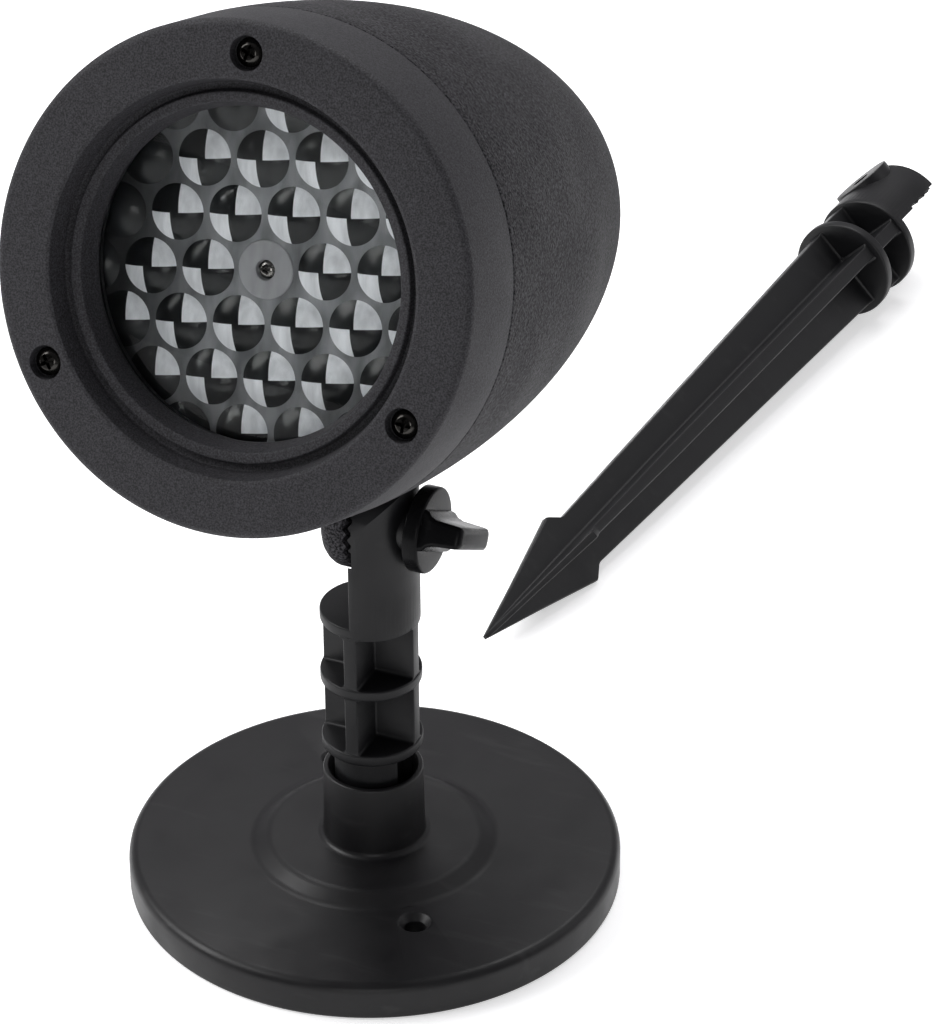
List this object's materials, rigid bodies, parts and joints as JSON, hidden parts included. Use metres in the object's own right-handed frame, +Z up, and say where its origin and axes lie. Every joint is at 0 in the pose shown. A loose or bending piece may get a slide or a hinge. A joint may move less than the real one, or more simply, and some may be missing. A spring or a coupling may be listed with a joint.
{
  "type": "light projector on a stand with a ground stake",
  "caption": "Bullet-shaped outdoor light projector with a moulded lens wheel on a clamp stem and round base, with its spare ground stake beside it.",
  "frame": {"origin": "centre of the base's underside, on the stem's axis", "axes": "+Z up along the stem, -Y the way the light shines, +X the side of the clamp knob; the loose stake points along +Y"},
  "size_m": [0.116, 0.425, 0.2396],
  "materials": {
    "housing_plastic": "fine spark-eroded grain",
    "bezel_plastic": "fine grain",
    "stand_plastic": "satin moulded",
    "base_plastic": "satin moulded",
    "knob_plastic": "semi gloss",
    "stake_plastic": "satin moulded",
    "clear_window": "polished",
    "lens_plastic": "clear moulded lenses",
    "condenser_glass": "polished",
    "black_screws": "black oxide",
    "steel": "zinc plated",
    "brass": "turned",
    "rubber_parts": "soft",
    "inner_plastic": "moulded",
    "film": "frosted film",
    "aluminium": "extruded",
    "board_green": "solder mask",
    "board_white": "white solder mask",
    "phosphor": "silicone",
    "chip_black": "moulded",
    "can_sleeve": "shrink sleeve"
  },
  "bodies": {
    "base": {"base_plate": "base_plastic"},
    "stem": {"stem_post": "stand_plastic", "stem_washer": "steel", "stem_screw": "steel"},
    "wheel": {"lens_wheel": "lens_plastic", "wheel_screw": "steel", "motor_shaft": "steel"},
    "knob": {"wing_knob": "knob_plastic", "knob_insert": "brass"},
    "stake": {"ground_stake": "stake_plastic"},
    "head": {"rear_housing": "housing_plastic", "front_bezel": "bezel_plastic", "bezel_screws": "black_screws", "bezel_seal": "rubber_parts", "window_glass": "clear_window", "window_gasket": "rubber_parts", "window_retainer": "inner_plastic", "retainer_screws": "steel", "slide_frame": "inner_plastic", "slide_film": "film", "chassis_plate": "inner_plastic", "chassis_screws": "steel", "condenser_lenses": "condenser_glass", "motor_gearbox": "steel", "motor_can": "steel", "motor_screws": "steel", "led_board": "board_white", "led_packages": "board_white", "led_domes": "phosphor", "heat_sink": "aluminium", "sink_screws": "steel", "driver_board": "board_green", "board_screws": "steel", "driver_capacitor": "can_sleeve", "driver_transformer": "chip_black", "driver_chips": "chip_black", "gland_body": "inner_plastic", "gland_lock_nut": "inner_plastic", "gland_cap": "inner_plastic", "gland_seal": "rubber_parts", "clamp_bolt": "steel"}
  },
  "joints": [
    {"name": "stem_swivel", "type": "hinge", "parent": "base", "child": "stem", "pos_m": [0, 0, 0.02], "axis": [0, 0, 1], "range_deg": [-90, 90]},
    {"name": "head_tilt", "type": "hinge", "parent": "stem", "child": "head", "pos_m": [0, 0, 0.098], "axis": [1, 0, 0], "range_deg": [-45, 60]},
    {"name": "wheel_spin", "type": "hinge", "parent": "head", "child": "wheel", "pos_m": [0, -0.04629, 0.18362], "axis": [0, -0.9505, 0.3107], "continuous": true},
    {"name": "knob_turn", "type": "hinge", "parent": "head", "child": "knob", "pos_m": [0.013, 0, 0.098], "axis": [1, 0, 0], "continuous": true},
    {"name": "stake_lift", "type": "slide", "parent": "base", "child": "stake", "axis": [0, 0, 1], "range_m": [0, 0.1]}
  ]
}
